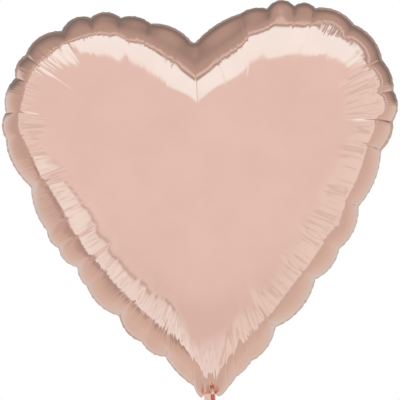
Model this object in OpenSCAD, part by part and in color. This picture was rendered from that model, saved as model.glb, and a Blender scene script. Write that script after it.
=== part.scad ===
// Heart-shaped foil balloon, inflated, with its self-sealing valve and its filling tail.
//
// Two foil panels are welded together round a scalloped edge. The same weld runs down both sides
// of a flat tail, and a two-layer film valve passes between the welds from the tail's inlet hole
// up into the gas space. The tail bends where it leaves the heart.
//
// +Z runs from the tail to the lobes, the front faces -Y, and the origin is the centre of the
// ribbon hole in the end of the tail.

/* [Heart outline] */
// Radius of the long side arc that rises from the tip
side_r = 525; // [450:5:600]
// Angle that the side arc sweeps, in degrees
side_sweep = 34.4; // [32:0.2:37]
// Slope of the side where it leaves the tip, above the horizontal, in degrees
tip_slope = 35.7; // [33:0.1:38]
// Radius of the arc round the outside of a lobe
lobe_r = 100; // [90:1:110]
// Angle that the lobe arc sweeps, in degrees
lobe_sweep = 86.9; // [80:0.1:95]
// Radius of the arc from the top of a lobe down into the cleft
top_r = 122; // [112:1:132]

/* [Inflated body] */
// Greatest height of one panel above the seam's plane
panel_h = 84; // [50:1:110]
// How full the body is: a higher power keeps the middle flatter and the edge rounder
fullness = 3; // [2:0.1:4]
// Height of the dome's centre above the tip
centre_rise = 220; // [190:1:250]

/* [Seam] */
// Width of the welded seam round the edge
seam_w = 5; // [3:0.5:8]
// How far each scallop stands out past the mean edge
scallop_out = 2.6; // [0:0.1:5]

/* [Tail] */
// Length of the tail, from the heart to its end
tail_l = 58; // [45:1:90]
// Width of the tail at its end
tail_w = 30; // [26:1:40]
// Width of the tail where it leaves the heart
neck_w = 18; // [17:0.5:22]
// Radius of the tail's two bottom corners
tail_corner_r = 7; // [3:0.5:10]
// Diameter of the ribbon hole near the tail's end
ribbon_d = 5; // [3:0.5:7]
// Distance from the tail's end to the centre of the ribbon hole
ribbon_rise = 8; // [6:0.5:10]
// Diameter of the inlet hole for the filling nozzle
inlet_d = 8; // [6:0.5:10]
// Distance from the ribbon hole to the centre of the inlet hole
inlet_rise = 17; // [15:0.5:20]

/* [Valve] */
// Width of the valve's two films
valve_w = 14; // [12:0.5:14]
// How far the valve reaches up into the heart
valve_in = 100; // [60:5:140]
// Width of each weld along the valve's sides
valve_weld_w = 2; // [1:0.5:3]

/* [Film] */
// Thickness of the foil, drawn stouter than real film so that it stays a sound solid
foil_t = 0.5; // [0.3:0.1:0.8]
// Thickness of one valve film, drawn stouter too
valve_t = 0.25; // [0.2:0.05:0.4]
// Thickness of the release coat that keeps the valve's films apart
coat_t = 0.1; // [0.1:0.05:0.2]

/* [Hidden] */

// Colours
rose_gold = [0.87, 0.70, 0.64];
weld_rose = [0.78, 0.60, 0.54];
clear_film = [0.86, 0.89, 0.92];
coat_blue = [0.55, 0.70, 0.84];

// Scallops from the tip to the cleft: each is [width, depth of the crease at its upper end].
// The widths are shares of the side's length, so they follow the outline when it is resized.
right_scallops = [
    [20, 2], [19, 2], [42, 7], [63, 5], [38, 2], [50, 3], [57, 4], [29, 1],
    [29, 1], [34, 2], [46, 1], [40, 1], [26, 2], [24, 3], [36, 1], [45, 1],
];
left_scallops = [
    [12, 1], [39, 4], [30, 1], [34, 3], [37, 1], [25, 2], [26, 1], [19, 1], [46, 6],
    [54, 2], [27, 3], [38, 5], [24, 2], [45, 6], [33, 2], [31, 4], [31, 4], [48, 1],
];
steps = 4;      // straight steps along each scallop
dome_rings = 8; // rings from the seam to the top of the dome

// Stack of layers through a seam, measured from its middle plane
seal_half = coat_t / 2 + valve_t;
stack_half = seal_half + foil_t;

// Heights. The tail turns about hinge_z. Its top corners need fold_gap to pass the heart.
fold_gap = stack_half + 0.6;
tail_end_z = -ribbon_rise;
hinge_z = tail_end_z + tail_l;
neck_z = hinge_z + fold_gap;
neck_side_gap = 0.5; // clearance beside the tail where it leaves the heart
neck_half = neck_w / 2 + neck_side_gap;
neck_slope = asin(sin(tip_slope) + neck_half / side_r);
neck_s = side_r * (neck_slope - tip_slope) * PI / 180;
tip_z = neck_z - side_r * (cos(tip_slope) - cos(neck_slope));
centre = [0, tip_z + centre_rise];

// Seam outline ------------------------------------------------------------------------------

// Unit vector out of the outline where it heads at angle a
function out(a) = [sin(a), -cos(a)];

// The three arcs of one side, in order from the tip: [centre, radius, first heading, last heading]
lobe_start = tip_slope + side_sweep;
top_start = lobe_start + lobe_sweep;
side_c = [0, tip_z] - side_r * out(tip_slope);
lobe_c = side_c + (side_r - lobe_r) * out(lobe_start);
top_c = lobe_c + (lobe_r - top_r) * out(top_start);
top_end = 180 + asin(top_c.x / top_r);
arcs = [
    [side_c, side_r, tip_slope, lobe_start],
    [lobe_c, lobe_r, lobe_start, top_start],
    [top_c, top_r, top_start, top_end],
];
function arc_l(arc) = arc[1] * (arc[3] - arc[2]) * PI / 180;
side_l = arc_l(arcs[0]) + arc_l(arcs[1]) + arc_l(arcs[2]);

// Point of the mean edge at length s from the tip on the right side, moved out by off; the edge
// is level where the tail leaves it
function edge(s, off) =
    s < neck_s
    ? [s / neck_s * (neck_half + off * sin(neck_slope)), neck_z - off * cos(neck_slope)]
    : on_arc(s, off, 0);
function on_arc(s, off, i) =
    i < 2 && s > arc_l(arcs[i])
    ? on_arc(s - arc_l(arcs[i]), off, i + 1)
    : let (arc = arcs[i], a = arc[2] + s / arc[1] * 180 / PI) arc[0] + (arc[1] + off) * out(a);

function sum(v, n, key) = n == 0 ? 0 : v[n - 1][key] + sum(v, n - 1, key);

// Columns of one side from the neck to the cleft: [length along the side, distance out]
function columns(scallops) =
    let (
        n = len(scallops),
        scale = (side_l - neck_s) / sum(scallops, n, 0)
    )
    concat(
        [for (k = [1 : neck_steps - 1]) [neck_s * k / neck_steps, 0]],
        [
            for (i = [0 : n - 1])
                let (
                    start = neck_s + sum(scallops, i, 0) * scale,
                    width = scallops[i][0] * scale,
                    low = i == 0 ? 0 : scallops[i - 1][1],
                    high = scallops[i][1]
                )
                for (k = [0 : steps - 1])
                    let (t = k / steps, arch = 4 * t * (1 - t))
                    [
                        start + width * t,
                        (scallop_out + (low + high) / 2) * arch - low * (1 - t) - high * t,
                    ]
        ],
        [[side_l, -scallops[n - 1][1]]]
    );
neck_steps = 3; // straight steps along the level edge, each side of the middle
right_columns = columns(right_scallops);
left_columns = columns(left_scallops);
cleft_z = edge(side_l, 0).y - left_scallops[len(left_scallops) - 1][1];

function side_ring(cols, inset, share) = [for (c = cols) edge(c[0], c[1] * share - inset)];
function flip(points) = [for (i = [len(points) - 1 : -1 : 0]) [-points[i].x, points[i].y]];

// Closed ring of the edge, inset from the rim, with a share of the scallops' depth
function ring(inset, share = 1) = concat(
    [[0, neck_z + inset * cos(neck_slope)]],
    side_ring(right_columns, inset, share),
    [[0, cleft_z - inset]],
    flip(side_ring(left_columns, inset, share))
);

// Panels ------------------------------------------------------------------------------------

seam_outer = ring(0);
seam_inner = ring(seam_w);
seam_mean = ring(seam_w, 0); // the seam's inner edge without its scallops
columns_n = len(seam_outer);

// Height of the dome at a share r of the way from its centre to the seam, at height z; the body
// thins towards the tip
tip_reach = 40;
function dome_h(r, z) =
    panel_h * sqrt(max(0, 1 - pow(r, fullness))) * (1 - exp((tip_z - z) / tip_reach));

// One ring of the dome: r is its share of the way out, shrink moves it in by that much at the
// seam, and base_h is its height where the dome starts. The scallops fade inwards.
scallop_fade = 8;
function dome_ring(r, shrink, base_h) = [
    for (i = [0 : columns_n - 1])
        let (
            scallop = pow(r, scallop_fade),
            away = seam_inner[i] * scallop + seam_mean[i] * (1 - scallop) - centre,
            full = centre + away * r,
            p = full - away * r * shrink / norm(away)
        )
        [p.x, -(base_h + dome_h(r, full.y)), p.y]
];
function flat_ring(points, h) = [for (p = points) [p.x, -h, p.y]];

// Share of the way out for ring k: the rings crowd towards the seam, where the dome is steep
function ring_share(k) = pow(cos(90 * k / dome_rings), 2 / 3);

// One closed skin: over the flat seam and up the outside of the dome, then down its inside
module panel() {
    outer = concat(
        [
            flat_ring(seam_outer, seal_half),
            flat_ring(seam_outer, stack_half),
            flat_ring(seam_inner, stack_half),
        ],
        [for (k = [1 : dome_rings - 1]) dome_ring(ring_share(k), 0, stack_half)]
    );
    inner = [for (k = [dome_rings - 1 : -1 : 0]) dome_ring(ring_share(k), foil_t, seal_half)];
    top_h = dome_h(0, centre.y);
    tops = [for (base_h = [stack_half, seal_half]) [centre.x, -(base_h + top_h), centre.y]];
    n = columns_n;
    top_i = len(outer) * n;
    inner_i = top_i + len(tops);
    last_i = inner_i + (len(inner) - 1) * n;
    faces = concat(
        [for (k = [0 : len(outer) - 2]) each strip(k * n, (k + 1) * n, n)],
        [for (i = [0 : n - 1]) [top_i, top_i - n + (i + 1) % n, top_i - n + i]],
        [for (i = [0 : n - 1]) [top_i + 1, inner_i + i, inner_i + (i + 1) % n]],
        [for (k = [0 : len(inner) - 2]) each strip(inner_i + k * n, inner_i + (k + 1) * n, n)],
        strip(last_i, 0, n)
    );
    polyhedron(concat([for (r = outer) each r], tops, [for (r = inner) each r]), faces);
}

// Triangles between two rings of n points that start at a and b
function strip(a, b, n) = [
    for (i = [0 : n - 1])
        let (j = (i + 1) % n)
        each [[a + i, b + i, a + j], [a + j, b + i, b + j]]
];

module front_panel() {
    color(rose_gold) panel();
}

module back_panel() {
    color(rose_gold) mirror([0, 1, 0]) panel();
}

// Layers ------------------------------------------------------------------------------------

// A flat layer drawn in the XZ plane, between distances y0 and y1 along Y
module layer(y0, y1) {
    translate([0, y1, 0]) rotate([90, 0, 0]) linear_extrude(y1 - y0) children();
}

// A hole along Y through every layer
module punch(d, z) {
    translate([0, 0, z]) rotate([90, 0, 0])
        cylinder(d = d, h = 4 * stack_half, center = true, $fn = 48);
}

// A strip on the middle line, from height z0 to z1
module strip_2d(width, z0, z1) {
    translate([-width / 2, z0]) square([width, z1 - z0]);
}

// The weld between the panels, open where the valve passes through it
module edge_seal() {
    color(weld_rose) layer(-seal_half, seal_half) difference() {
        polygon(seam_outer);
        polygon(seam_inner);
        strip_2d(valve_w, tip_z, neck_z + 2 * seam_w);
    }
}

// The tail's flat outline: a narrow neck that widens to the full width, with round corners
neck_straight = 6;  // length of the narrow neck
flare_l = 14;       // length over which it widens
corner_steps = 8;
function tail_half() = concat(
    [
        for (i = [0 : corner_steps])
            let (a = -90 + 90 * i / corner_steps)
            [tail_w / 2 - tail_corner_r, tail_end_z + tail_corner_r]
            + tail_corner_r * [cos(a), sin(a)]
    ],
    [
        [tail_w / 2, hinge_z - neck_straight - flare_l],
        [neck_w / 2, hinge_z - neck_straight],
        [neck_w / 2, hinge_z],
    ]
);
module tail_2d() {
    half = tail_half();
    polygon(concat(half, flip(half)));
}

inlet_margin = 3; // valve film below the inlet hole
inlet_film_z = inlet_rise - inlet_d / 2 - inlet_margin;

module tail_front_foil() {
    color(rose_gold) difference() {
        layer(-stack_half, -seal_half) tail_2d();
        punch(ribbon_d, 0);
        punch(inlet_d, inlet_rise);
    }
}

module tail_back_foil() {
    color(rose_gold) difference() {
        layer(seal_half, stack_half) tail_2d();
        punch(ribbon_d, 0);
    }
}

// The weld along the tail's sides and across its end, round the valve
module tail_seal() {
    color(weld_rose) difference() {
        layer(-seal_half, seal_half) difference() {
            tail_2d();
            strip_2d(valve_w, inlet_film_z, hinge_z + 1);
        }
        punch(ribbon_d, 0);
    }
}

// Valve -------------------------------------------------------------------------------------

valve_top_z = neck_z + valve_in;

// The valve is two films with a weld along each side. Each stretch runs from height z0 to z1.
module front_film(z0, z1) {
    layer(-seal_half, -coat_t / 2) strip_2d(valve_w, z0, z1);
}

module back_film(z0, z1) {
    layer(coat_t / 2, seal_half) strip_2d(valve_w, z0, z1);
}

module side_welds(z0, z1) {
    layer(-coat_t / 2, coat_t / 2) difference() {
        strip_2d(valve_w, z0, z1);
        strip_2d(valve_w - 2 * valve_weld_w, z0 - 1, z1 + 1);
    }
}

// The valve's upper stretch, from the neck up into the gas space
module valve_front_film() {
    color(clear_film) front_film(neck_z, valve_top_z);
}

module valve_back_film() {
    color(clear_film) back_film(neck_z, valve_top_z);
}

module valve_side_welds() {
    color(clear_film) side_welds(neck_z, valve_top_z);
}

// Keeps the seam's weld from closing the valve where it crosses it
coat_l = 14;
module valve_release_coat() {
    color(coat_blue) layer(-coat_t / 2, coat_t / 2)
        strip_2d(valve_w - 2 * valve_weld_w, neck_z, neck_z + coat_l);
}

// The valve's lower stretch, in the tail: the inlet hole opens between its films
module inlet_front_film() {
    color(clear_film) difference() {
        front_film(inlet_film_z, hinge_z);
        punch(inlet_d, inlet_rise);
    }
}

module inlet_back_film() {
    color(clear_film) back_film(inlet_film_z, hinge_z);
}

module inlet_side_welds() {
    color(clear_film) side_welds(inlet_film_z, hinge_z);
}

front_panel();
back_panel();
edge_seal();
valve_front_film();
valve_back_film();
valve_side_welds();
valve_release_coat();
tail_front_foil();
tail_back_foil();
tail_seal();
inlet_front_film();
inlet_back_film();
inlet_side_welds();
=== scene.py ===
import math

import bpy
import numpy as np
from mathutils.geometry import delaunay_2d_cdt
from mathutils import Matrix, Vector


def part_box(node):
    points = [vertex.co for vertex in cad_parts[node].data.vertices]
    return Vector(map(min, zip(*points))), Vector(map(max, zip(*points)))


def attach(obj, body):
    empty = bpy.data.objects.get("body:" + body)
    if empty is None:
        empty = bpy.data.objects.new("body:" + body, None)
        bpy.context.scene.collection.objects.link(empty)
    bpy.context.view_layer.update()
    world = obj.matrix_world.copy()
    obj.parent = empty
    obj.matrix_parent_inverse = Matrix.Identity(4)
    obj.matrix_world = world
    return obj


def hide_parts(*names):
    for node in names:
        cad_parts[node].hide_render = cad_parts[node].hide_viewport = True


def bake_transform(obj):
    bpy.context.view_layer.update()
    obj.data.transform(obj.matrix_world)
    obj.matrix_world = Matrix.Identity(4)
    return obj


# Heart-shaped foil balloon. Each panel is one sheet of film: its columns run from the seam to the
# middle of the heart, and its rings follow the seam. Lengths are in metres, and +Z points up.

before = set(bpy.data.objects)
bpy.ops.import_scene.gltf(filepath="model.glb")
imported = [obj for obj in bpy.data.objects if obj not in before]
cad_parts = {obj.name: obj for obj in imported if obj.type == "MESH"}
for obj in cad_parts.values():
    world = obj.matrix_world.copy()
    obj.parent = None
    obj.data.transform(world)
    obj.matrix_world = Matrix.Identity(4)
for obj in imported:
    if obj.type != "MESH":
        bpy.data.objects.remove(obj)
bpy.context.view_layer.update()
MM = 0.001

# Seam outline ------------------------------
# Three arcs a side, from the tip to the cleft, and a small round at the bottom of the cleft.

SIDE_R, LOBE_R, TOP_R, CLEFT_R = 525 * MM, 100 * MM, 122 * MM, 4 * MM
TIP_SLOPE = math.radians(35.7)
LOBE_START = TIP_SLOPE + math.radians(34.4)
TOP_START = LOBE_START + math.radians(86.9)
CAD_NECK_HALF = 9.5 * MM
CENTRE_RISE = 220 * MM
PANEL_H = 84 * MM
FLANGE_W = 3.9 * MM         # the welded margin outside the seam line
FLANGE_LEAN = math.radians(64)
FLANGE_REACH = FLANGE_W * math.cos(FLANGE_LEAN)

neck_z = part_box("front_panel")[0].z
cad_neck_slope = math.asin(math.sin(TIP_SLOPE) + CAD_NECK_HALF / SIDE_R)
tip_z = neck_z - SIDE_R * (math.cos(TIP_SLOPE) - math.cos(cad_neck_slope))
centre = np.array([0.0, tip_z + CENTRE_RISE])


def out_of(a):
    """Unit vectors out of the outline where it heads at angle a."""
    return np.stack([np.sin(a), -np.cos(a)], axis=-1)


side_c = np.array([0.0, tip_z]) - SIDE_R * out_of(TIP_SLOPE)
lobe_c = side_c + (SIDE_R - LOBE_R) * out_of(LOBE_START)
top_c = lobe_c + (LOBE_R - TOP_R) * out_of(TOP_START)
TOP_END = math.pi + math.asin(top_c[0] / (TOP_R + CLEFT_R))
cleft_c = top_c + (TOP_R + CLEFT_R) * out_of(TOP_END)
# Each arc is (centre, radius, first heading, length). The last one turns the other way.
ARCS = [
    (side_c, SIDE_R, TIP_SLOPE, SIDE_R * (LOBE_START - TIP_SLOPE)),
    (lobe_c, LOBE_R, LOBE_START, LOBE_R * (TOP_START - LOBE_START)),
    (top_c, TOP_R, TOP_START, TOP_R * (TOP_END - TOP_START)),
    (cleft_c, -CLEFT_R, TOP_END, CLEFT_R * (TOP_END - math.pi)),
]
ARC_ENDS = np.cumsum([arc[3] for arc in ARCS])
SIDE_L = float(ARC_ENDS[-1])


def mean_edge(s):
    """Points and outward normals of the right side's outline at lengths s from the tip."""
    s = np.asarray(s, float)
    points = np.zeros((len(s), 2))
    normals = np.zeros((len(s), 2))
    which = np.minimum(np.searchsorted(ARC_ENDS, s), len(ARCS) - 1)
    for i, (arc_centre, radius, heading, length) in enumerate(ARCS):
        here = which == i
        normals[here] = out_of(heading + (s[here] - ARC_ENDS[i] + length) / radius)
        points[here] = arc_centre + radius * normals[here]
    return points, normals


# Scallops from the neck to the cleft. Each is, in mm: its width, the depth of the crease at its upper
# end, its bulge, how far in from the outline the film is steep, and how far in its shoulder reaches.
# The last number is how rippled the film is, as a factor. The neck is where a side starts, in mm: how
# far from the tip, and its depth.
RIGHT_NECK, LEFT_NECK = (3.1, 1.2), (11.1, -3.0)
RIGHT_SCALLOPS = [
    (15, -1.3, 3.5, 15, 45, 0.5), (12, 1.8, 0, 16.5, 42, 0.5), (21, 2.9, -1, 19, 43, 0.9),
    (41, 8, -0.5, 22.5, 43, 2),
    (63, 5.5, -0.1, 20.5, 36, 1), (38, 1.4, 1, 18.5, 34, 1), (46, 4, 2.4, 17.5, 33, 1.5),
    (60, 3.9, 0.6, 17.5, 33, 1), (30, 0.9, 0.4, 18, 34, 1.5), (30, -0.2, 3.2, 14.5, 32, 2),
    (33, 1.3, 1.6, 15, 31, 2), (45, 0, 2.6, 17.5, 35, 1.6), (41, 1.1, 3, 18, 46, 1.2),
    (21, 1.9, 2.5, 20.5, 50, 0.5), (28, 3.8, 3.6, 21.5, 54, 0.5), (28, 1.9, -0.5, 28, 57, 0.5),
    (53, 1.3, -0.8, 31, 56, 1),
]
LEFT_SCALLOPS = [
    (12, 0, 7.1, 19, 43, 0.6), (37, 6.4, -0.9, 22.5, 44, 1.2), (30, 1.5, 0.3, 24.5, 44, 2),
    (33, 4.3, 1.5, 26, 42, 2.5), (43, -0.4, 3, 24.5, 41, 2), (21, 3.8, 0.8, 25, 41, 2),
    (26, -0.2, 2.5, 23, 41, 1.5), (20, -0.7, 3.4, 22, 43, 1.5), (46, 7, 0.3, 24, 43, 1.5),
    (54, 2.9, -0.7, 20.5, 34, 1), (27, 5, -1.1, 18, 30, 1), (38, 6.5, -2.2, 20.5, 31, 1.5),
    (25, 3.4, -2, 21, 30, 2.5), (45, 6.7, -0.4, 20, 32, 3), (33, 3.1, 0.5, 22, 38, 1.5),
    (30, 4.6, 0.7, 22.5, 41, 1), (32, 4.7, -1.4, 27.5, 46, 2), (46, 1.3, 0.6, 29, 47, 2.5),
]
COLUMNS = 1904              # columns of film round the seam, a multiple of 16
NECK_COLUMNS = 16
NECK_STEEP = (22, 13, 18)   # in mm: at the neck's left corner, in its middle and at its right corner
NECK_SHOULDER = 54 * MM
# Near the tip the columns start straight up. Further on they turn to the outline's normal.
DOWN_UNTIL, NORMAL_FROM = 6 * MM, 130 * MM
CLEFT_CROWD = 1.8           # the columns crowd together towards the cleft, where they fan out
SLANT_LIMIT = 0.8           # limits how far the rings stretch where the outline turns from a chord
SIDE_COLUMNS = (COLUMNS - NECK_COLUMNS) // 2


def smooth_step(low, high, value):
    t = np.clip((value - low) / (high - low), 0, 1)
    return t * t * (3 - 2 * t)


def side_columns(scallops, side, first_scallop, neck):
    """One side's columns from the neck to the cleft, as a dict of arrays."""
    neck_s = neck[0] * MM
    widths = np.array([scallop[0] for scallop in scallops]) * MM
    widths *= (SIDE_L - neck_s) / widths.sum()
    starts = neck_s + np.concatenate([[0], np.cumsum(widths)])
    ends = np.round((starts - neck_s) / (SIDE_L - neck_s) * SIDE_COLUMNS).astype(int)
    corners, _ = mean_edge(starts)
    keys = "s offset t sag slant scallop steep shoulder ripple"
    rows = {key: [] for key in keys.split()}
    for i, (_, depth, bulge, steep, shoulder, ripple) in enumerate(scallops):
        n = ends[i + 1] - ends[i]
        t = (np.arange(n) + (0 if side > 0 else 1)) / n
        if i == len(scallops) - 1:
            t = 1 - (1 - t) ** CLEFT_CROWD
        low = neck[1] if i == 0 else scallops[i - 1][1]
        arch = 4 * t * (1 - t)
        s = starts[i] + widths[i] * t
        chord = corners[i + 1] - corners[i]
        chord_in = np.array([-chord[1], chord[0]]) / np.linalg.norm(chord)
        edge, normal = mean_edge(s)
        sag = (edge - corners[i]) @ -chord_in
        rows["s"].append(s)
        rows["offset"].append(((bulge + (low + depth) / 2) * arch - low * (1 - t) - depth * t) * MM)
        rows["t"].append(t)
        rows["sag"].append(np.maximum(sag, 0))
        rows["slant"].append(1 / np.maximum(normal @ -chord_in, SLANT_LIMIT))
        rows["scallop"].append(np.full(n, first_scallop + i))
        rows["steep"].append(np.full(n, steep * MM))
        rows["shoulder"].append(np.full(n, shoulder * MM))
        rows["ripple"].append(np.full(n, ripple))
    rows = {key: np.concatenate(values) for key, values in rows.items()}
    points, normals = mean_edge(rows["s"])
    outward = smooth_step(DOWN_UNTIL, NORMAL_FROM, rows["s"])[:, None]
    lead = normals * outward + np.array([0, -1]) * (1 - outward)
    rows["edge"] = points * (side, 1)
    rows["normal"] = normals * (side, 1)
    rows["lead"] = lead / np.linalg.norm(lead, axis=1, keepdims=True) * (side, 1)
    rows["width"] = widths[rows["scallop"] - first_scallop]
    return rows


def neck_columns():
    """The columns across the neck, from left to right."""
    n = NECK_COLUMNS
    corners = []
    for (neck_s, depth), side in ((LEFT_NECK, -1), (RIGHT_NECK, 1)):
        point, _ = mean_edge([neck_s * MM])
        corners.append(point[0] * (side, 1) + np.array([0, depth * MM]))
    edge = corners[0] + (corners[1] - corners[0]) * (np.arange(n) / n)[:, None]
    steep = np.interp(np.arange(n) / n, [0, 0.65, 1], NECK_STEEP) * MM
    zero = np.zeros(n)
    down = np.tile([0.0, -1.0], (n, 1))
    return {
        "s": zero, "offset": zero, "t": zero, "sag": zero, "slant": zero + 1, "ripple": zero + 1,
        "scallop": np.full(n, -1), "steep": steep, "shoulder": zero + NECK_SHOULDER,
        "edge": edge, "normal": down, "lead": down, "width": zero + 1,
    }


right_side = side_columns(RIGHT_SCALLOPS, 1, 0, RIGHT_NECK)
left_side = side_columns(LEFT_SCALLOPS, -1, len(RIGHT_SCALLOPS), LEFT_NECK)
left_side = {key: values[::-1] for key, values in left_side.items()}
neck_side = neck_columns()
column = {k: np.concatenate([right_side[k], left_side[k], neck_side[k]]) for k in right_side}
seam_line = column["edge"] - column["lead"] * FLANGE_REACH
# Length round the whole seam, for wrinkles and textures
around = np.concatenate([[0], np.cumsum(np.linalg.norm(np.diff(column["edge"], axis=0), axis=1))])

# Columns in the seam's plane ------------------------------
# Each sets out against its lead, which points outwards, and bends to the middle of the heart.

STRAIGHT_L = 75 * MM        # how far its lead guides a column
STRAIGHT_LEAST = 4 * MM
STRAIGHT_SHARE = 0.8        # or only this share of the way to the heart's middle line
CURVE_SAMPLES = 1500
CURVE_STEPS = 400


def column_curves():
    """Points along each column at equal steps, and each column's length."""
    inward = -column["lead"]
    reach = STRAIGHT_SHARE * np.abs(seam_line[:, 0]) / np.maximum(np.abs(inward[:, 0]), 1e-6)
    to_axis = inward[:, 0] * seam_line[:, 0] < 0
    reach = np.where(to_axis, np.minimum(STRAIGHT_L, np.maximum(reach, STRAIGHT_LEAST)), STRAIGHT_L)
    middle = seam_line + inward * reach[:, None]
    t = np.linspace(0, 1, CURVE_SAMPLES)[None, :, None]
    curve = (1 - t) ** 2 * seam_line[:, None] + 2 * t * (1 - t) * middle[:, None] + t ** 2 * centre
    steps = np.linalg.norm(np.diff(curve, axis=1), axis=2)
    length = np.concatenate([np.zeros((len(steps), 1)), np.cumsum(steps, axis=1)], axis=1)
    out = np.zeros((len(curve), CURVE_STEPS + 1, 2))
    for i in range(len(curve)):
        at = np.linspace(0, length[i, -1], CURVE_STEPS + 1)
        for axis in (0, 1):
            out[i, :, axis] = np.interp(at, length[i], curve[i, :, axis])
    return out, length[:, -1]


curves, curve_l = column_curves()


def along(index, distance):
    """Points at distances along the columns in index; a negative distance is outside the seam line."""
    at = np.clip(distance / curve_l[index][:, None], 0, 1) * CURVE_STEPS
    low = np.minimum(at.astype(int), CURVE_STEPS - 1)
    part = (at - low)[..., None]
    points = curves[index[:, None], low] * (1 - part) + curves[index[:, None], low + 1] * part
    outside = np.maximum(-distance, 0)[..., None] * column["lead"][index][:, None]
    return points + outside


# Shape of the film near the seam ------------------------------

SCALLOP_FADE = 19 * MM      # how far in the scallops reach
FACET_START, FACET_FULL = 2 * MM, 16 * MM
FACET_GAIN = 1.1
FACET_FADE, FACET_END = 50 * MM, 115 * MM


def level_distance(index, base):
    """Where along its column each ring lies: scalloped at the seam, straight between creases further in."""
    scallop = 1 - smooth_step(0, SCALLOP_FADE, base)
    facet = smooth_step(FACET_START, FACET_FULL, base) * (1 - smooth_step(FACET_FADE, FACET_END, base))
    straight = (base + FACET_GAIN * column["sag"][index][:, None]) * column["slant"][index][:, None]
    return base - column["offset"][index][:, None] * scallop + (straight - base) * facet


# Height of the inflated film ------------------------------
# A membrane is solved over the flat heart. Its height gives each point's share of the way in, and
# the profile of a round foil balloon turns that share into the film's height.

CELL = 2.5 * MM
SWEEPS, OVER_RELAX = 700, 1.955
BATCH = 2000                # points at a time, to save memory


def inside_and_distance(points, outline):
    """Whether each point lies in the closed outline, and its distance to the outline."""
    a, b = outline, np.roll(outline, -1, axis=0)
    x, z = points[:, 0:1], points[:, 1:2]
    spans = (a[:, 1] > z) != (b[:, 1] > z)
    cross = (b[:, 0] - a[:, 0]) * (z - a[:, 1]) / np.where(b[:, 1] == a[:, 1], 1e-12, b[:, 1] - a[:, 1])
    inside = (spans & (x < a[:, 0] + cross)).sum(axis=1) % 2 == 1
    distance = np.zeros(len(points))
    edge = b - a
    for start in range(0, len(points), BATCH):
        part = points[start:start + BATCH, None] - a[None]
        share = np.clip((part * edge).sum(2) / (edge * edge).sum(1), 0, 1)
        gap = np.linalg.norm(part - share[..., None] * edge, axis=2)
        distance[start:start + BATCH] = gap.min(axis=1)
    return inside, distance


def shift(field, axis, step):
    """A grid's values moved so that each cell holds its neighbour's."""
    return np.roll(field, -step, axis=axis)


def solve_membrane():
    """Height of a membrane under even pressure on a grid, and the grid's low corner."""
    low = seam_line.min(0) - 3 * CELL
    size = np.ceil((seam_line.max(0) + 3 * CELL - low) / CELL).astype(int) + 1
    grid = np.stack(np.meshgrid(np.arange(size[0]), np.arange(size[1]), indexing="ij"), axis=-1)
    inside, distance = inside_and_distance((low + grid * CELL).reshape(-1, 2), seam_line[::2])
    inside, distance = inside.reshape(size), distance.reshape(size)
    reach = {}
    for axis in (0, 1):
        for step in (-1, 1):
            other = shift(distance, axis, step)
            part = np.clip(distance / (distance + other + 1e-12), 0.05, 1)
            reach[axis, step] = np.where(shift(inside, axis, step), 1.0, part)
    weight = {
        (axis, step): 2 / (reach[axis, step] * (reach[axis, -1] + reach[axis, 1]))
        for axis in (0, 1) for step in (-1, 1)
    }
    total = sum(weight.values())
    checker = (grid.sum(axis=-1) % 2).astype(bool)
    height = np.zeros(size)
    for _ in range(SWEEPS):
        for colour in (checker, ~checker):
            pull = sum(w * shift(height * inside, *key) for key, w in weight.items())
            relaxed = height + OVER_RELAX * ((pull + 1) / total - height)
            height = np.where(colour & inside, relaxed, height)
    return height / height.max(), low


membrane, membrane_low = solve_membrane()


def cubic(t):
    """Weights of four values in a row, for a curve at t between the middle two."""
    return (
        (-t + 2 * t ** 2 - t ** 3) / 2, (2 - 5 * t ** 2 + 3 * t ** 3) / 2,
        (t + 4 * t ** 2 - 3 * t ** 3) / 2, (-t ** 2 + t ** 3) / 2,
    )


def membrane_at(points):
    """Smooth value of the membrane at points, by a cubic through the grid."""
    at = (points - membrane_low) / CELL
    cell = np.floor(at).astype(int)
    part = at - cell
    value = 0
    wx, wz = cubic(part[..., 0]), cubic(part[..., 1])
    for i in range(4):
        for j in range(4):
            value = value + wx[i] * wz[j] * membrane[cell[..., 0] + i - 1, cell[..., 1] + j - 1]
    return value


NEAR = np.array([10, 14, 18]) * MM      # the cubic near the seam meets the membrane here


def share_in(index, distance):
    """Membrane's value at distances along columns. Near the seam a cubic leads it down to 0."""
    inner = membrane_at(along(index, np.maximum(distance, NEAR[0])))
    near = membrane_at(along(index, np.tile(NEAR, (len(index), 1))))
    powers = np.stack([NEAR, NEAR ** 2, NEAR ** 3], axis=1)
    terms = near @ np.linalg.inv(powers).T
    d = np.clip(distance, 0, NEAR[0])
    close = terms[:, 0:1] * d + terms[:, 1:2] * d ** 2 + terms[:, 2:3] * d ** 3
    return np.clip(np.where(distance < NEAR[0], close, inner), 0, 1)


def film_height(share):
    """Height of the film from the middle plane, by the share of the way in."""
    return PANEL_H * np.sqrt(1 - (1 - share) ** 1.5)


def ring_blur(values, width):
    """Values round the seam, blurred over a number of columns."""
    weights = np.hanning(width + 2)[1:-1]
    around_twice = np.concatenate([values[-width:], values, values[:width]])
    return np.convolve(around_twice, weights / weights.sum(), "same")[width:-width]


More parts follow.
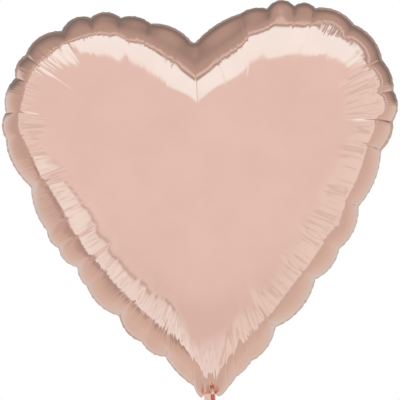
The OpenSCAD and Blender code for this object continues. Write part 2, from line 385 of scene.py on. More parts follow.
# Near the seam each column's profile is stretched or drawn in, so that the film is this steep at the
# two distances its scallop names. Further in, what the scallops do runs together.
STEEP_SLOPE, SHOULDER_SLOPE = 1.18, 0.62
STEEPEST = (1.7, 3.3)
SEAM_STEEP, SEAM_STEEP_W = 1.8, 5 * MM   # it is steeper still at the seam
PILLOW = 0.2                # how much faster the film rises where a scallop spreads the rings
FINE_STEP = 0.5 * MM
FINE_STEPS = np.arange(0, 261) * FINE_STEP
RUN_TOGETHER = (24 * MM, 62 * MM)
RUN_COLUMNS = 301
EVEN_OUT_FROM = 0.6         # where the rest of the height is added, as a share of the steep distance
BISECTIONS = 12
STEEP_BLUR, SHOULDER_BLUR, STEEPEST_BLUR = 27, 91, 121      # in columns
# A column that starts askew to the seam runs further to get as far in.
askew = (column["lead"] * column["normal"]).sum(axis=1)
steep_at = ring_blur(column["steep"] / askew, STEEP_BLUR) - FLANGE_REACH
shoulder_at = ring_blur(column["shoulder"] / askew, SHOULDER_BLUR) - FLANGE_REACH
everyone = np.arange(COLUMNS)


def fitted_slopes(natural):
    """Slopes at the fine steps, from the natural heights stretched to the named distances."""
    slopes = np.minimum.accumulate(np.gradient(natural, FINE_STEP, axis=1), axis=1)
    fitted = np.zeros_like(slopes)
    for i in everyone:
        known = [np.interp(-slope, -slopes[i], FINE_STEPS) for slope in (STEEP_SLOPE, SHOULDER_SLOPE)]
        warped = np.interp(
            FINE_STEPS, [0, steep_at[i], shoulder_at[i], FINE_STEPS[-1]], [0, *known, FINE_STEPS[-1]]
        )
        fitted[i] = np.interp(warped, FINE_STEPS, slopes[i])
    return fitted


def fitted_heights():
    """The film's height on every column at the fine steps. It is the natural height at the last."""
    natural = film_height(share_in(everyone, np.tile(FINE_STEPS, (COLUMNS, 1))))
    slopes = fitted_slopes(natural)
    fine = np.tile(FINE_STEPS, (COLUMNS, 1))
    slopes *= 1 + PILLOW * (np.gradient(level_distance(everyone, fine), FINE_STEP, axis=1) - 1)
    at_seam = SEAM_STEEP * np.clip(1 - FINE_STEPS / SEAM_STEEP_W, 0, 1)
    low, high = np.full(COLUMNS, STEEPEST[0]), np.full(COLUMNS, STEEPEST[1])
    for _ in range(BISECTIONS):
        steepest = (low + high) / 2
        over = np.minimum(slopes, steepest[:, None] + at_seam).sum(axis=1) * FINE_STEP > natural[:, -1]
        low, high = np.where(over, low, steepest), np.where(over, steepest, high)
    slopes = np.minimum(slopes, ring_blur(steepest, STEEPEST_BLUR)[:, None] + at_seam)
    heights = np.zeros_like(natural)
    heights[:, 1:] = np.cumsum((slopes[:, 1:] + slopes[:, :-1]) / 2, axis=1) * FINE_STEP
    left_over = (natural - heights)[:, -1:]
    start = EVEN_OUT_FROM * steep_at[:, None]
    change = heights + left_over * smooth_step(start, FINE_STEPS[-1], FINE_STEPS) - natural
    far_change = np.stack([ring_blur(step, RUN_COLUMNS) for step in change.T], axis=1)
    return natural + change + (far_change - change) * smooth_step(*RUN_TOGETHER, FINE_STEPS)


fine_heights = fitted_heights()


# A groove between two small lobes at the neck, where the tail comes out. At each height above the
# tip, in mm: where its middle is, how wide it is, and how deep as a share of the film's height.
GROOVE = np.array([
    (0, -0.4, 2.6, 1.0), (4, -0.3, 2.2, 1.0), (8, -0.3, 1.7, 1.0), (11, -0.3, 1.5, 0.55),
    (16, -0.5, 2.2, 0.12), (30, -1.3, 3.5, 0.03), (52, -2.3, 4.5, 0.0),
])


def groove(points):
    """What is left of the film's height at points beside the groove."""
    rise = (points[..., 1] - tip_z) / MM
    middle, width, depth = (np.interp(rise, GROOVE[:, 0], GROOVE[:, i]) for i in (1, 2, 3))
    return 1 - depth * np.exp(-np.abs((points[..., 0] / MM - middle) / width) ** 3)


# At the neck the panels lie round the tail, which has a deep fold down its middle.
NECK_GAP = 1.1 * MM
NECK_OPENS = 3 * MM                     # how far in the gap is full beside the neck's open edge
TAIL_ROOM = (6 * MM, 9.5 * MM)          # and how far to each side of the tail it fades
GAP_FADE = (12 * MM, 40 * MM)           # and how far above the tip
GATHER, NECK_LEAN = 0.62, -3.2 * MM     # the tail's width at the neck, as a share, and its shift
FOLD_AT, FOLD_WIDTH, FOLD_DEPTH = 4.4 * MM, 2.1 * MM, 4.6 * MM


def fold_depth(x):
    """How far back the tail's fold reaches at places across the flat tail."""
    return FOLD_DEPTH * np.exp(-((x - FOLD_AT) / FOLD_WIDTH) ** 2)


def round_the_tail(index, base, flat, front):
    """The least height of a panel's film at points near the neck."""
    open_edge = ring_blur((column["scallop"] < 0).astype(float), 5)[index][:, None]
    share = np.maximum(open_edge, smooth_step(0, NECK_OPENS, base))
    share = share * (1 - smooth_step(*TAIL_ROOM, np.abs(flat[..., 0] - NECK_LEAN)))
    gap = NECK_GAP
    if front > 0:
        gap = gap + fold_depth((flat[..., 0] - NECK_LEAN) / GATHER)
    return gap * share * (1 - smooth_step(*GAP_FADE, flat[..., 1] - tip_z))


def height_at(index, distance):
    """Film's height at distances along the columns in index."""
    near = np.stack([np.interp(d, FINE_STEPS, h) for d, h in zip(distance, fine_heights[index])])
    return np.where(distance < FINE_STEPS[-1], near, film_height(share_in(index, distance)))


# Fine shape of the film ------------------------------

SEAM_KINK = 2.0 * MM        # how far the seam leaves the middle plane at a crease, at most
WAVE_REACH = 16 * MM        # how far in the film follows it
WAVE_FROM, WAVE_FULL = 2 * MM, 25 * MM      # it starts this far from the tip
crease_columns = np.flatnonzero(np.diff(column["scallop"], prepend=-1) != 0)
random_seam = np.random.default_rng(4)
seam_kinks = random_seam.uniform(-1, 1, len(crease_columns)) * SEAM_KINK
seam_wave = np.interp(
    around, np.append(around[crease_columns], around[-1] + 1 * MM), np.append(seam_kinks, seam_kinks[0])
)
seam_wave = ring_blur(seam_wave, 9) * smooth_step(WAVE_FROM, WAVE_FULL, column["s"])

# Relief of the fine pleats beside the seam and of the wide waves further in
PLEAT_RELIEF, WAVE_RELIEF = 0.10 * MM, 0.04 * MM
VALLEY_W = 2.4 * MM         # a valley runs in from each crease


def scatter(whole, seed):
    """A number from 0 to 1 for each whole number, always the same one."""
    return np.mod(np.sin(whole * 12.9898 + seed * 78.233) * 43758.5453, 1)


def wrinkles(seed):
    """A function of columns and distances that gives the film's fine relief, in metres."""
    random = np.random.default_rng(seed)
    count = len(RIGHT_SCALLOPS) + len(LEFT_SCALLOPS)
    pleat_w = random.uniform(2.0, 3.0, count) * MM
    wave_l = random.uniform(8, 14, count) * MM
    wave_p = random.uniform(0, 2 * math.pi, count)
    valley_a = random.uniform(0.3, 0.8, count) * MM
    valley_l = random.uniform(24, 55, count) * MM
    lean = random.uniform(-0.15, 0.15, count)
    strength = ring_blur(column["ripple"], 15)

    def relief(index, distance):
        i = np.maximum(column["scallop"][index], 0)
        strong = strength[index][:, None]
        t = column["t"][index][:, None]
        width = column["width"][index][:, None]
        round_at = around[index][:, None] + lean[i][:, None] * distance
        edge_gap = np.minimum(t, 1 - t) * width
        inside = smooth_step(0, 4 * MM, edge_gap)
        at = round_at / pleat_w[i][:, None]
        pleat = np.floor(at)
        tall = 0.3 + 1.2 * scatter(pleat, seed)
        ends = column["steep"][index][:, None] * (0.8 + 1.1 * scatter(pleat, seed + 1) ** 2)
        ends += 4 * MM
        pleat_env = smooth_step(1 * MM, 9 * MM, distance) * (1 - smooth_step(0.7, 1, distance / ends))
        pillow = np.abs(np.sin(math.pi * at)) ** 0.8
        wave = np.sin(2 * math.pi * round_at / wave_l[i][:, None] + wave_p[i][:, None])
        wave_env = smooth_step(2 * MM, 14 * MM, distance) * (1 - smooth_step(25 * MM, 65 * MM, distance))
        valley = np.maximum(0, 1 - edge_gap / VALLEY_W) ** 1.6
        valley_env = smooth_step(1 * MM, 7 * MM, distance) * (
            1 - smooth_step(0.3, 1, distance / valley_l[i][:, None])
        )
        return (column["scallop"][index] >= 0)[:, None] * (
            PLEAT_RELIEF * strong * tall * pillow * pleat_env * (0.35 + 0.65 * inside)
            + WAVE_RELIEF * strong * wave * wave_env * inside
            - valley_a[i][:, None] * valley * valley_env
        )

    return relief


# Rings from the seam inwards. Near the seam they lie at distances in mm; further in they share out
# what is left of each column, and the columns halve in number.
NEAR_RINGS = np.array([
    0, 0.15, 0.45, 0.9, 1.5, 2.3, 3.3, 4.5, 5.8, 7.2, 8.6, 10, 11.5, 13, 14.5, 16, 17.5, 19, 20.5, 22, 24,
    26, 28.5, 31, 34, 37, 40, 43.5, 47, 51, 55, 60,
]) * MM
FAR_RINGS = [
    (2, (0.04, 0.08, 0.13, 0.18, 0.24, 0.30)),
    (4, (0.37, 0.44, 0.51, 0.58)),
    (8, (0.65, 0.72, 0.79)),
    (16, (0.86, 0.93)),
]


def film_points(index, base, front):
    """Points of a panel's film: front is -1 for the front panel and 1 for the back one."""
    flat = along(index, level_distance(index, base))
    height = np.maximum(height_at(index, base) * groove(flat), round_the_tail(index, base, flat, front))
    wave = seam_wave[index][:, None] * np.exp(-base / WAVE_REACH)
    return np.stack([flat[..., 0], front * height + wave, flat[..., 1]], axis=-1)


def surface_normals(points, front):
    """Unit normals out of the film, on a grid of columns and rings."""
    around_d = np.roll(points, -1, axis=0) - np.roll(points, 1, axis=0)
    inward_d = np.gradient(points, axis=1)
    normal = np.cross(inward_d, around_d)
    normal /= np.maximum(np.linalg.norm(normal, axis=-1, keepdims=True), 1e-12)
    return normal * np.where(normal[..., 1:2] * front < 0, -1, 1)


def ring_faces(start, n):
    """Faces between a ring of n points and the next ring of n."""
    a = start + np.arange(n)
    b = start + (np.arange(n) + 1) % n
    return np.stack([a, b, b + n, a + n], axis=1).tolist()


def halving_faces(start, n):
    """Faces between a ring of n points and the next ring, which has half as many."""
    a = np.arange(n // 2)
    b = (a + 1) % (n // 2)
    inner = start + n
    threes = [start + 2 * a, start + 2 * a + 1, inner + a]
    fours = [start + 2 * a + 1, start + (2 * a + 2) % n, inner + b, inner + a]
    return np.stack(threes, axis=1).tolist() + np.stack(fours, axis=1).tolist()


def panel_mesh(name, front, seed):
    """One panel's sheet of film, from the seam line to the middle of the heart."""
    relief = wrinkles(seed)
    base = np.tile(NEAR_RINGS, (COLUMNS, 1))
    points = film_points(everyone, base, front)
    points += surface_normals(points, front) * relief(everyone, base)[..., None]
    vertices = [points.transpose(1, 0, 2).reshape(-1, 3)]
    faces = []
    n, ring_start = COLUMNS, 0
    for _ in NEAR_RINGS[1:]:
        faces += ring_faces(ring_start, n)
        ring_start += n
    for step, shares in FAR_RINGS:
        index = everyone[::step]
        left_over = curve_l[index][:, None] - NEAR_RINGS[-1]
        points = film_points(index, NEAR_RINGS[-1] + left_over * np.array(shares), front)
        vertices.append(points.transpose(1, 0, 2).reshape(-1, 3))
        faces += halving_faces(ring_start, n)
        ring_start += n
        n //= 2
        for _ in shares[1:]:
            faces += ring_faces(ring_start, n)
            ring_start += n
    vertices.append(np.array([[centre[0], front * film_height(1.0), centre[1]]]))
    top = ring_start + n
    faces += [[ring_start + i, ring_start + (i + 1) % n, top] for i in range(n)]
    if front > 0:
        faces = [face[::-1] for face in faces]
    return make_object(name, np.concatenate(vertices), faces)


def make_object(name, vertices, faces, smooth=True):
    """A mesh object in the scene."""
    mesh = bpy.data.meshes.new(name)
    mesh.from_pydata([tuple(v) for v in vertices], [], faces)
    mesh.validate()
    if smooth:
        mesh.shade_smooth()
    else:
        mesh.shade_flat()
    made = bpy.data.objects.new(name, mesh)
    bpy.context.scene.collection.objects.link(made)
    return made


# Materials ------------------------------

ROSE_GOLD = (0.765, 0.508, 0.43)


def math_node(tree, operation, a, b=None):
    node = tree.nodes.new("ShaderNodeMath")
    node.operation = operation
    for socket, value in zip(node.inputs, (a, b)):
        if isinstance(value, bpy.types.NodeSocket):
            tree.links.new(value, socket)
        elif value is not None:
            socket.default_value = value
    return node.outputs[0]


def new_material(name):
    material = bpy.data.materials.new(name)
    material.use_nodes = True
    shader = material.node_tree.nodes["Principled BSDF"]
    return material, material.node_tree, shader


def noise(tree, scale, detail, low, high):
    """A noise texture in the object's own metres, mapped to run from low to high."""
    place = tree.nodes.new("ShaderNodeTexCoord")
    texture = tree.nodes.new("ShaderNodeTexNoise")
    texture.inputs["Scale"].default_value = scale
    texture.inputs["Detail"].default_value = detail
    spread = tree.nodes.new("ShaderNodeMapRange")
    spread.inputs["From Min"].default_value = 0.3
    spread.inputs["From Max"].default_value = 0.7
    spread.inputs["To Min"].default_value = low
    spread.inputs["To Max"].default_value = high
    tree.links.new(place.outputs["Object"], texture.inputs["Vector"])
    tree.links.new(texture.outputs["Fac"], spread.inputs["Value"])
    return spread.outputs["Result"], texture.outputs["Fac"]


def scaled_colour(tree, colour, scale):
    """A colour times a value that varies over the surface."""
    product = tree.nodes.new("ShaderNodeVectorMath")
    product.operation = "SCALE"
    product.inputs[0].default_value = colour
    tree.links.new(scale, product.inputs["Scale"])
    return product.outputs[0]


def foil_material(name, tint, rough_low, rough_high, bump):
    """Metallised film: a mirror with slight cloudiness and fine crinkle."""
    material, tree, shader = new_material(name)
    shader.inputs["Metallic"].default_value = 1.0
    cloud, _ = noise(tree, 22, 3, 0, 1)
    ramp = tree.nodes.new("ShaderNodeValToRGB")
    ramp.color_ramp.elements[0].color = (*[c * 0.975 for c in tint], 1)
    ramp.color_ramp.elements[1].color = (*[min(1, c * 1.02) for c in tint], 1)
    tree.links.new(cloud, ramp.inputs["Fac"])
    tree.links.new(ramp.outputs["Color"], shader.inputs["Base Color"])
    rough, _ = noise(tree, 90, 4, rough_low, rough_high)
    tree.links.new(rough, shader.inputs["Roughness"])
    _, crinkle = noise(tree, 350, 3, 0, 1)
    relief = tree.nodes.new("ShaderNodeBump")
    relief.inputs["Strength"].default_value = 1.0
    relief.inputs["Distance"].default_value = bump
    tree.links.new(crinkle, relief.inputs["Height"])
    tree.links.new(relief.outputs["Normal"], shader.inputs["Normal"])
    return material


def weld_material(name, tint):
    """Welded margin: the same film, duller, pressed into a fine diamond pattern."""
    material, tree, shader = new_material(name)
    shader.inputs["Metallic"].default_value = 1.0
    cloud, _ = noise(tree, 40, 3, 0.9, 1.05)
    tree.links.new(scaled_colour(tree, tint, cloud), shader.inputs["Base Color"])
    rough, _ = noise(tree, 120, 3, 0.2, 0.32)
    tree.links.new(rough, shader.inputs["Roughness"])
    place = tree.nodes.new("ShaderNodeTexCoord")
    height = None
    for turn in (1, -1):
        turned = tree.nodes.new("ShaderNodeMapping")
        turned.inputs["Rotation"].default_value = (0, turn * math.radians(45), 0)
        ridges = tree.nodes.new("ShaderNodeTexWave")
        ridges.inputs["Scale"].default_value = 260
        tree.links.new(place.outputs["Object"], turned.inputs["Vector"])
        tree.links.new(turned.outputs["Vector"], ridges.inputs["Vector"])
        here = ridges.outputs["Fac"]
        height = here if height is None else math_node(tree, "MULTIPLY", height, here)
    relief = tree.nodes.new("ShaderNodeBump")
    relief.inputs["Distance"].default_value = 0.06 * MM
    tree.links.new(height, relief.inputs["Height"])
    tree.links.new(relief.outputs["Normal"], shader.inputs["Normal"])
    return material


def film_material(name, tint, rough_low, rough_high, clear):
    """Unmetallised film: cloudy plastic that lets a share of the light through."""
    material, tree, shader = new_material(name)
    shader.inputs["Transmission Weight"].default_value = clear
    shader.inputs["IOR"].default_value = 1.45
    cloud, _ = noise(tree, 60, 3, 0.94, 1.03)
    tree.links.new(scaled_colour(tree, tint, cloud), shader.inputs["Base Color"])
    rough, _ = noise(tree, 150, 3, rough_low, rough_high)
    tree.links.new(rough, shader.inputs["Roughness"])
    return material


foil = foil_material("rose_gold_foil", ROSE_GOLD, 0.07, 0.12, 0.01 * MM)
weld = weld_material("pressed_weld", [c * 0.93 for c in ROSE_GOLD])
film = film_material("valve_film", (0.86, 0.89, 0.92), 0.2, 0.35, 0.7)
coat = film_material("release_coat", (0.55, 0.70, 0.84), 0.5, 0.65, 0.2)

# Pieces ------------------------------

front = panel_mesh("front_film", -1, 11)
front.data.materials.append(foil)
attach(front, "balloon")
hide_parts("front_panel")
back = panel_mesh("back_film", 1, 23)
back.data.materials.append(foil)
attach(back, "balloon")
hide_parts("back_panel")


FLANGE_ROWS = np.array([-0.4, 0.0, 0.5, 1.0, 1.6, 2.2, 2.9, 3.5, 3.9]) * MM    # out from the seam line
FLANGE_HALF = 0.16 * MM
FLANGE_TAPER_FROM, FLANGE_TAPER = 3.7 * MM, 0.3     # its outer edge is thinner, as a share
random_lean = np.random.default_rng(9)
scallop_lean = random_lean.uniform(-0.14, 0.14, len(RIGHT_SCALLOPS) + len(LEFT_SCALLOPS))
crimp = np.sin(2 * math.pi * around / (5.2 * MM)) + np.sin(2 * math.pi * around / (8.3 * MM) + 1)
flange_lean = FLANGE_LEAN + ring_blur(scallop_lean[np.maximum(column["scallop"], 0)] + 0.05 * crimp, 5)


def seam_band():
    """The welded margin outside the seam line: both films pressed flat, in one closed band."""
    index = np.arange(COLUMNS - NECK_COLUMNS + 1)
    seam = -column["offset"][index][:, None]
    lean = flange_lean[index][:, None]
    flat = along(index, seam - FLANGE_ROWS * np.cos(lean))
    wave = seam_wave[index][:, None] + FLANGE_ROWS * np.sin(lean)
    half = FLANGE_HALF * np.where(FLANGE_ROWS > FLANGE_TAPER_FROM, FLANGE_TAPER, 1.0)
    rows = []
    for side, order in ((-1, slice(None)), (1, slice(None, None, -1))):
        y = wave + side * half
        rows.append(np.stack([flat[..., 0], y, flat[..., 1]], axis=-1)[:, order])
    loop = np.concatenate(rows, axis=1)
    m = loop.shape[1]
    faces = []
    for i in range(len(index) - 1):
        for j in range(m):
            k = (j + 1) % m
            faces.append([i * m + j, i * m + k, (i + 1) * m + k, (i + 1) * m + j])
    faces.append(list(range(m))[::-1])
    faces.append([(len(index) - 1) * m + j for j in range(m)])
    return make_object("seam_weld", loop.reshape(-1, 3), faces)


band = seam_band()
band.data.materials.append(weld)
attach(band, "balloon")
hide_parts("edge_seal")

# Tail and valve ------------------------------
# Each layer is drawn flat and closed. One mapping gathers them all at the neck, so that they stay
# in order.

SEAL_HALF, COAT_HALF = 0.3 * MM, 0.05 * MM
FOIL_FACES = (SEAL_HALF + 0.01 * MM, SEAL_HALF + 0.2 * MM)
TAIL_HALF, TAIL_NECK_HALF, TAIL_CORNER = 15 * MM, 9 * MM, 7 * MM
TAIL_END, FLARE_LOW, FLARE_HIGH, TAIL_TOP = -8 * MM, 24 * MM, 42 * MM, 62 * MM
VALVE_HALF, VALVE_WELD, INLET_END = 7 * MM, 2 * MM, 10 * MM
VALVE_START, VALVE_TOP = 51.4 * MM, 151.4 * MM
COAT_L = 14 * MM
SPREAD_LOW, SPREAD_HIGH = 62 * MM, 84 * MM      # inside the heart the films spread out again
NECK_PLEAT, NECK_PLEAT_W = 0.35 * MM, 5.1 * MM
TAIL_WAVE, TAIL_WAVE_L = 0.12 * MM, 9 * MM
RIBBON_HOLE = (0.0, 2.5 * MM)   # each hole's height and radius
INLET_HOLE = (17 * MM, 4 * MM)


def tail_place(points, y):
    """Points of a layer at distance y behind the middle plane, where the tail gathers."""
    x, z = points[:, 0], points[:, 1]
    amount = smooth_step(FLARE_LOW, FLARE_HIGH, z) * (1 - smooth_step(SPREAD_LOW, SPREAD_HIGH, z))
    pleat = NECK_PLEAT * np.sin(2 * math.pi * x / NECK_PLEAT_W + 0.8)
    soft = TAIL_WAVE * np.sin(2 * math.pi * (x * 0.8 + z * 0.3) / TAIL_WAVE_L) * np.sin(z / (11 * MM))
    new_x = x * (1 + (GATHER - 1) * amount) + NECK_LEAN * amount
    return np.stack([new_x, y + (fold_depth(x) + pleat) * amount + soft, z], axis=-1)


def circle(hole, count=40):
    """Points round a hole on the tail's middle line."""
    turn = np.arange(count) / count * 2 * math.pi
    return np.stack([hole[1] * np.cos(turn), hole[0] + hole[1] * np.sin(turn)], axis=-1)


def stepped(corners, spacing):
    """A closed line through corners, with points no further apart than spacing."""
    out = []
    for a, b in zip(corners, np.roll(corners, -1, axis=0)):
        n = max(1, math.ceil(np.linalg.norm(b - a) / spacing))
        out += [a + (b - a) * i / n for i in range(n)]
    return np.array(out)


def tail_outline():
    """The flat tail: rounded at its lower corners, and narrower at the neck."""
    turn = np.linspace(-math.pi / 2, 0, 9)
    corner = np.stack([
        TAIL_HALF - TAIL_CORNER + TAIL_CORNER * np.cos(turn), TAIL_END + TAIL_CORNER * (1 + np.sin(turn)),
    ], axis=-1)
    side = [(TAIL_HALF, FLARE_LOW), (TAIL_NECK_HALF, FLARE_HIGH), (TAIL_NECK_HALF, TAIL_TOP)]
    right = np.concatenate([corner, side])
    return np.concatenate([right, right[::-1] * (-1, 1)])


def rectangle(x0, x1, z0, z1):
    """A rectangle's corners in order."""
    return np.array([(x0, z0), (x1, z0), (x1, z1), (x0, z1)])


def filled(outline, holes, spacing):
    """Points and triangles that fill an outline but not its holes."""
    loops = [stepped(outline, spacing)] + [circle(hole) for hole in holes]
    low, high = outline.min(0), outline.max(0)
    grid = np.stack(np.meshgrid(*(np.arange(low[i], high[i], spacing) for i in (0, 1))), axis=-1)
    inner = grid.reshape(-1, 2) + 0.37 * spacing
    for i, loop in enumerate(loops):
        inside, distance = inside_and_distance(inner, loop)
        inner = inner[(inside == (i == 0)) & (distance > 0.45 * spacing)]
    points = np.concatenate(loops + [inner])
    edges, start = [], 0
    for loop in loops:
        n = len(loop)
        edges += [(start + i, start + (i + 1) % n) for i in range(n)]
        start += n
    made = delaunay_2d_cdt([tuple(point) for point in points], edges, [], 0, 1e-9)
    points, triangles = np.array([tuple(point) for point in made[0]]), np.array(made[2])
    middle = points[triangles].mean(axis=1)
    keep = inside_and_distance(middle, loops[0])[0]
    for loop in loops[1:]:
        keep &= ~inside_and_distance(middle, loop)[0]
    return points, triangles[keep]


def layer(name, node, material, outline, faces, holes=(), spacing=0.8 * MM):
    """A closed layer between two distances behind the middle plane, which bends at the fold."""
    points, triangles = filled(outline, holes, spacing)
    a, b, c = (points[triangles[:, i]] for i in range(3))
    turned = (b[:, 0] - a[:, 0]) * (c[:, 1] - a[:, 1]) < (b[:, 1] - a[:, 1]) * (c[:, 0] - a[:, 0])
    triangles[turned] = triangles[turned][:, ::-1]
    n = len(points)
    sides = {(t[i], t[(i + 1) % 3]) for t in triangles.tolist() for i in range(3)}
    walls = [[j, i, i + n, j + n] for i, j in sorted(sides) if (j, i) not in sides]
    vertices = np.concatenate([tail_place(points, faces[0]), tail_place(points, faces[1])])
    made = make_object(name, vertices, triangles.tolist() + (triangles[:, ::-1] + n).tolist() + walls)
    made.data.set_sharp_from_angle(angle=math.radians(50))
    made.data.materials.append(material)
    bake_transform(made)
    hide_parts(node)
    return made


def mirrored_pair(y0, y1):
    """The faces of a front layer and of its mirrored back layer."""
    return (-y1, -y0), (y0, y1)


def add_tail():
    outline = tail_outline()
    front_faces, back_faces = mirrored_pair(*FOIL_FACES)
    layer("tail_front", "tail_front_foil", foil, outline, front_faces, (RIBBON_HOLE, INLET_HOLE))
    layer("tail_back", "tail_back_foil", foil, outline, back_faces, (RIBBON_HOLE,))
    half = len(outline) // 2
    channel = np.array([
        (-VALVE_HALF, TAIL_TOP), (-VALVE_HALF, INLET_END), (VALVE_HALF, INLET_END), (VALVE_HALF, TAIL_TOP),
    ])
    seal = np.concatenate([outline[:half], channel[::-1], outline[half:]])
    layer("tail_weld", "tail_seal", weld, seal, (-SEAL_HALF, SEAL_HALF), (RIBBON_HOLE,))


def add_valve():
    front_faces, back_faces = mirrored_pair(COAT_HALF, SEAL_HALF)
    middle = (-COAT_HALF, COAT_HALF)
    low = rectangle(-VALVE_HALF, VALVE_HALF, INLET_END, VALVE_START)
    high = rectangle(-VALVE_HALF, VALVE_HALF, VALVE_START, VALVE_TOP)
    layer("inlet_front", "inlet_front_film", film, low, front_faces, (INLET_HOLE,))
    layer("inlet_back", "inlet_back_film", film, low, back_faces)
    layer("valve_front", "valve_front_film", film, high, front_faces, spacing=1.6 * MM)
    layer("valve_back", "valve_back_film", film, high, back_faces, spacing=1.6 * MM)
    coat_half = VALVE_HALF - VALVE_WELD
    coated = rectangle(-coat_half, coat_half, VALVE_START, VALVE_START + COAT_L)
    layer("release_coat", "valve_release_coat", coat, coated, middle)
    for name, node, z0, z1 in (
        ("inlet_welds", "inlet_side_welds", INLET_END, VALVE_START),
        ("valve_welds", "valve_side_welds", VALVE_START, VALVE_TOP),
    ):
        for side, x0, x1 in (("_left", -VALVE_HALF, -coat_half), ("_right", coat_half, VALVE_HALF)):
            layer(name + side, node, film, rectangle(x0, x1, z0, z1), middle)


add_tail()
add_valve()

# Studio ------------------------------

TILT = math.radians(3.13)
FRAME_W = 391.3 * MM
CAMERA_AWAY = 2.6
SENSOR_MM = 36
VIEW_X, VIEW_RISE = -2.3 * MM, 195.2 * MM

camera = bpy.data.objects.new("camera", bpy.data.cameras.new("camera"))
bpy.context.scene.collection.objects.link(camera)
camera.location = (VIEW_X, -CAMERA_AWAY, tip_z + VIEW_RISE)
camera.rotation_euler = (math.pi / 2, TILT, 0)
camera.data.sensor_width = SENSOR_MM
camera.data.lens = SENSOR_MM * CAMERA_AWAY / FRAME_W
camera.data.clip_end = 100
bpy.context.scene.camera = camera

bpy.context.scene.view_settings.view_transform = "Standard"


FLOOR_Z, FLOOR_R, FLOOR_THICK = -0.36, 0.75, 4 * MM
FLOOR_SIDES = 96
FLOOR_COLOUR = (0.92, 0.86, 0.84)


def add_floor():
    """A pale disc well below the hanging balloon."""
    n = FLOOR_SIDES
    turn = np.arange(n) / n * 2 * math.pi
    rim = np.stack([FLOOR_R * np.cos(turn), FLOOR_R * np.sin(turn), np.full(n, FLOOR_Z)], axis=-1)
    under = rim - (0, 0, FLOOR_THICK)
    walls = [[i, i + n, (i + 1) % n + n, (i + 1) % n] for i in range(n)]
    caps = [list(range(n)), list(range(n, 2 * n))[::-1]]
    disc = make_object("floor", np.concatenate([rim, under]), caps + walls, smooth=False)
    material, tree, shader = new_material("pale_floor")
    shade, _ = noise(tree, 9, 2, 0.97, 1)
    tree.links.new(scaled_colour(tree, FLOOR_COLOUR, shade), shader.inputs["Base Color"])
    shader.inputs["Roughness"].default_value = 0.75
    disc.data.materials.append(material)
    disc.visible_glossy = False    # the foil reflects the studio's own pale floor


add_floor()


def ramp_over_angle(tree, angle, stops):
    """Colours by the angle from straight ahead of the balloon's front: (degrees, colour)."""
    ramp = tree.nodes.new("ShaderNodeValToRGB")
    elements = ramp.color_ramp.elements
    while len(elements) < len(stops):
        elements.new(0.5)
    for element, (degrees, colour) in zip(elements, stops):
        element.position = degrees / 180
        element.color = (*colour, 1)
    tree.links.new(math_node(tree, "DIVIDE", angle, math.pi), ramp.inputs["Fac"])
    return ramp.outputs["Color"]


def blend_over(tree, value, low, high, first, second):
    """First where value is below low, second above high, and a smooth blend between."""
    share = tree.nodes.new("ShaderNodeMapRange")
    share.interpolation_type = "SMOOTHSTEP"
    share.inputs["From Min"].default_value = low
    share.inputs["From Max"].default_value = high
    tree.links.new(value, share.inputs["Value"])
    mix = tree.nodes.new("ShaderNodeMix")
    mix.data_type = "RGBA"
    tree.links.new(share.outputs["Result"], mix.inputs["Factor"])
    for socket, colour in ((mix.inputs["A"], first), (mix.inputs["B"], second)):
        if isinstance(colour, tuple):
            socket.default_value = (*colour, 1)
        else:
            tree.links.new(colour, socket)
    return mix.outputs["Result"]


def multiplied(tree, first, second):
    """Two colours multiplied."""
    mix = tree.nodes.new("ShaderNodeMix")
    mix.data_type = "RGBA"
    mix.blend_type = "MULTIPLY"
    mix.inputs["Factor"].default_value = 1
    tree.links.new(first, mix.inputs["A"])
    tree.links.new(second, mix.inputs["B"])
    return mix.outputs["Result"]


# Each side of the studio, from straight ahead of the balloon to straight behind it: (degrees, colour)
AHEAD = (1.0, 1.0, 1.0)
ABOVE = [
    (0, AHEAD), (61, AHEAD), (66, (1.20, 1.48, 1.58)), (98.5, (1.21, 1.54, 1.66)),
    (100, (0.50, 0.43, 0.41)), (103, (0.54, 0.48, 0.45)), (104, (0.92, 0.92, 0.90)),
    (106.5, (0.92, 0.92, 0.90)), (108, (0.62, 0.56, 0.52)), (118, (0.56, 0.50, 0.46)),
    (135, (0.38, 0.33, 0.30)), (150, (0.24, 0.22, 0.21)), (180, (0.35, 0.35, 0.35)),
]
BEHIND_RIGHT = [
    (100, (0.76, 0.72, 0.68)), (112, (0.82, 0.77, 0.72)), (130, (0.87, 0.82, 0.76)),
    (150, (0.80, 0.77, 0.73)), (180, (0.62, 0.62, 0.62)),
]
ON_RIGHT = [
    (0, AHEAD), (60, AHEAD), (66, (1.03, 1.08, 1.08)), (98.5, (1.05, 1.12, 1.12)), *BEHIND_RIGHT,
]
BELOW = [
    (0, AHEAD), (54, AHEAD), (65, (1.09, 1.20, 1.26)), (98.5, (1.11, 1.25, 1.32)), *BEHIND_RIGHT,
]
ON_LEFT = [
    (0, AHEAD), (60, AHEAD), (66, (1.02, 1.06, 1.06)), (98, (1.03, 1.08, 1.08)),
    (100, (0.70, 0.66, 0.63)), (112, (0.68, 0.62, 0.58)), (130, (0.77, 0.71, 0.66)),
    (150, (0.80, 0.77, 0.74)), (180, (0.62, 0.62, 0.62)),
]
LOW_LEFT = [
    (0, AHEAD), (46, AHEAD), (52, (1.03, 1.05, 1.05)), (59, (1.03, 1.05, 1.05)),
    (61, (0.80, 0.77, 0.75)), (63.5, (0.80, 0.77, 0.75)), (66.5, (1.11, 1.27, 1.29)),
    (98.5, (1.13, 1.31, 1.34)), (100, (0.52, 0.46, 0.43)), (105, (0.57, 0.51, 0.48)),
    (113, (0.78, 0.72, 0.67)), (130, (0.84, 0.77, 0.71)), (150, (0.80, 0.77, 0.73)),
    (180, (0.62, 0.62, 0.62)),
]
FLOOR_SHADE = (0.92, 0.91, 0.89)
LIGHT_TURN = math.radians(11)  # the light above is a little to the right
BEHIND = math.radians(99)
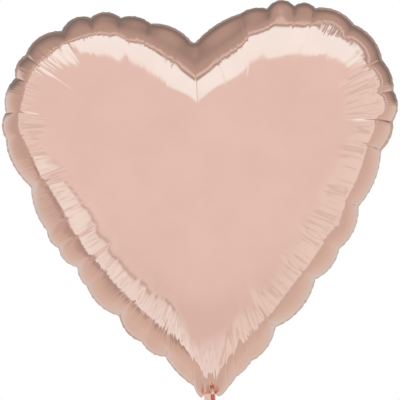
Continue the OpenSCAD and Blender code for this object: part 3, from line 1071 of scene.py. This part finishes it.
PANEL_EDGES = 9             # the tent's panels round the balloon, and how far their edges zigzag
EDGE_ZIGZAG = math.radians(1.6)
TENT_RIBS, RIB_SHADE = 24, (0.85, 0.82, 0.81)   # the side panels' ribs, which show in the pleats


def side_panels(tree, angle, upward, rightward):
    """The tent's colours to the right, to the left and below."""
    right, left, low_left, below = (
        ramp_over_angle(tree, angle, stops) for stops in (ON_RIGHT, ON_LEFT, LOW_LEFT, BELOW)
    )
    left = blend_over(tree, upward, -0.37, -0.32, low_left, left)
    left = blend_over(tree, upward, -0.79, -0.72, below, left)
    right = blend_over(tree, upward, -0.97, -0.85, below, right)
    return blend_over(tree, rightward, -0.2, 0.2, left, right)


def ribs(tree, round_at, ahead):
    """The shade of the side panels' ribs, with none ahead and none behind."""
    rib = math_node(tree, "COSINE", math_node(tree, "MULTIPLY", round_at, TENT_RIBS))
    ribbed = blend_over(tree, rib, 0.4, 0.95, AHEAD, RIB_SHADE)
    ribbed = blend_over(tree, ahead, 1.05, 1.2, AHEAD, ribbed)
    return blend_over(tree, ahead, 1.6, 1.72, ribbed, AHEAD)


def tent_colours(tree, x, y, z):
    """The tent's colour in the direction x, y, z: bright panels round the balloon, dimmer behind."""
    round_at = math_node(tree, "ARCTAN2", x, z)
    turns = math_node(tree, "SINE", math_node(tree, "MULTIPLY", round_at, PANEL_EDGES))
    zigzag = math_node(tree, "MULTIPLY", turns, EDGE_ZIGZAG)
    ahead = math_node(tree, "ARCCOSINE", math_node(tree, "MULTIPLY", y, -1.0))
    angle = math_node(tree, "ADD", ahead, zigzag)
    upward = math_node(tree, "COSINE", round_at)
    rightward = math_node(tree, "SINE", round_at)
    sides = side_panels(tree, angle, upward, rightward)
    sides = multiplied(tree, sides, ribs(tree, round_at, ahead))
    above = ramp_over_angle(tree, angle, ABOVE)
    toward_light = math_node(tree, "COSINE", math_node(tree, "SUBTRACT", round_at, LIGHT_TURN))
    behind = math_node(tree, "GREATER_THAN", angle, BEHIND)
    toward_light = math_node(tree, "ADD", toward_light, math_node(tree, "MULTIPLY", behind, 0.4))
    around_it = blend_over(tree, toward_light, 0.5, 0.8, sides, above)
    floor = blend_over(tree, z, -0.65, -0.38, FLOOR_SHADE, AHEAD)
    return multiplied(tree, around_it, blend_over(tree, ahead, 1.0, 1.4, floor, AHEAD))


def studio_world():
    """A tent that the film mirrors, and plain white behind the balloon."""
    world = bpy.data.worlds.new("studio")
    bpy.context.scene.world = world
    world.use_nodes = True
    tree = world.node_tree
    nodes, links = tree.nodes, tree.links
    nodes.clear()
    place = nodes.new("ShaderNodeTexCoord")
    split = nodes.new("ShaderNodeSeparateXYZ")
    links.new(place.outputs["Generated"], split.inputs[0])
    studio = nodes.new("ShaderNodeBackground")
    links.new(tent_colours(tree, *split.outputs), studio.inputs["Color"])
    white = nodes.new("ShaderNodeBackground")
    white.inputs["Color"].default_value = (1, 1, 1, 1)
    path = nodes.new("ShaderNodeLightPath")
    choose = nodes.new("ShaderNodeMixShader")
    output = nodes.new("ShaderNodeOutputWorld")
    links.new(path.outputs["Is Camera Ray"], choose.inputs["Fac"])
    links.new(studio.outputs["Background"], choose.inputs[1])
    links.new(white.outputs["Background"], choose.inputs[2])
    links.new(choose.outputs["Shader"], output.inputs["Surface"])


studio_world()
